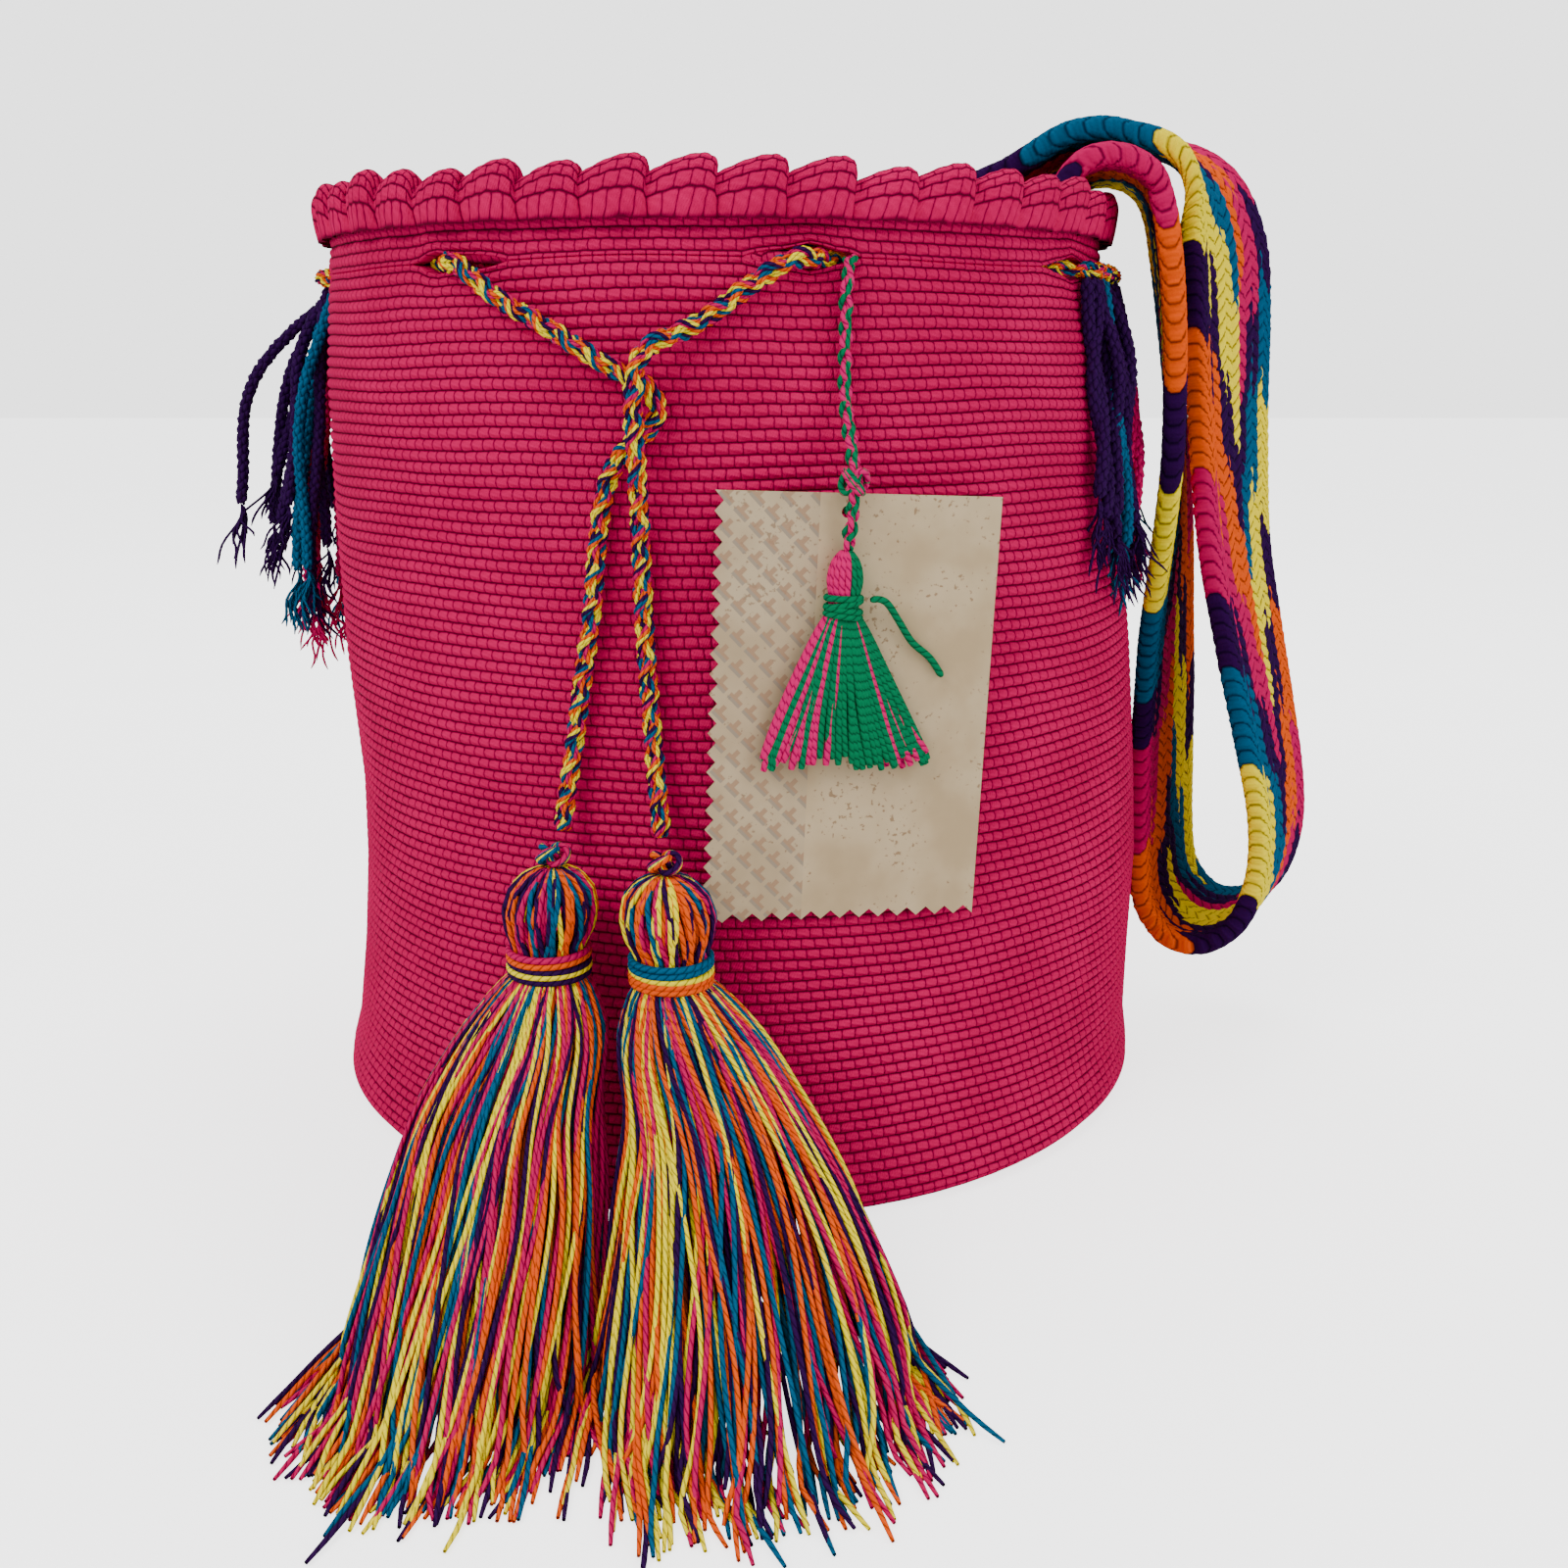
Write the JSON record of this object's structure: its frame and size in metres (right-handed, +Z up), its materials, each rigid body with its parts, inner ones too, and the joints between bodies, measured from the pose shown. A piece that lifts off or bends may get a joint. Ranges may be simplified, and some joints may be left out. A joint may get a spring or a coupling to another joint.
{
  "type": "wayuu mochila bag",
  "caption": "Round crocheted drawstring bucket bag with a plaited shoulder strap folded over its rim, tasselled cord ends and a small card hang tag.",
  "frame": {"origin": "centre of the bag's round flat base, on the surface it stands on", "axes": "+Z up out of the mouth; the front with the cord ends, tassels and tag faces -Y; +X to the right seen from the front, the side where the strap hangs"},
  "size_m": [0.3476, 0.377, 0.2932],
  "materials": {
    "bag_crochet": "tight hot pink single crochet in cotton yarn, matt",
    "strap_band": "thick plaited band in teal, orange, purple, pink and yellow cotton yarn, matt",
    "strap_yarn": "plied ends of the strap's yarn, mostly dark purple, matt",
    "drawstring": "plaited cotton cord in yellow, orange, teal, dark purple and pink, matt",
    "tassel_yarn": "loose plied cotton yarns in yellow, orange, hot pink, teal and dark purple, matt",
    "tassel_binding": "wound cotton yarn in orange, pink, purple and teal, matt",
    "tag_card": "cream speckled card with a faint geometric border, matt",
    "tag_yarn": "green and pink cotton yarn, matt"
  },
  "bodies": {
    "root": {"bag_body": "bag_crochet", "shoulder_strap": "strap_band", "strap_fringe_left": "strap_yarn", "strap_fringe_right": "strap_yarn", "drawstring_laced": "drawstring", "drawstring_end_left": "drawstring", "drawstring_end_right": "drawstring", "end_knot_left": "drawstring", "end_knot_right": "drawstring", "tassel_left": "tassel_yarn", "tassel_right": "tassel_yarn", "tassel_binding_left": "tassel_binding", "tassel_binding_right": "tassel_binding", "hang_tag": "tag_card", "tag_loop": "tag_yarn", "tag_cord": "tag_yarn", "tag_tassel": "tag_yarn", "tag_binding": "tag_yarn", "tag_binding_tail": "tag_yarn"}
  },
  "joints": []
}
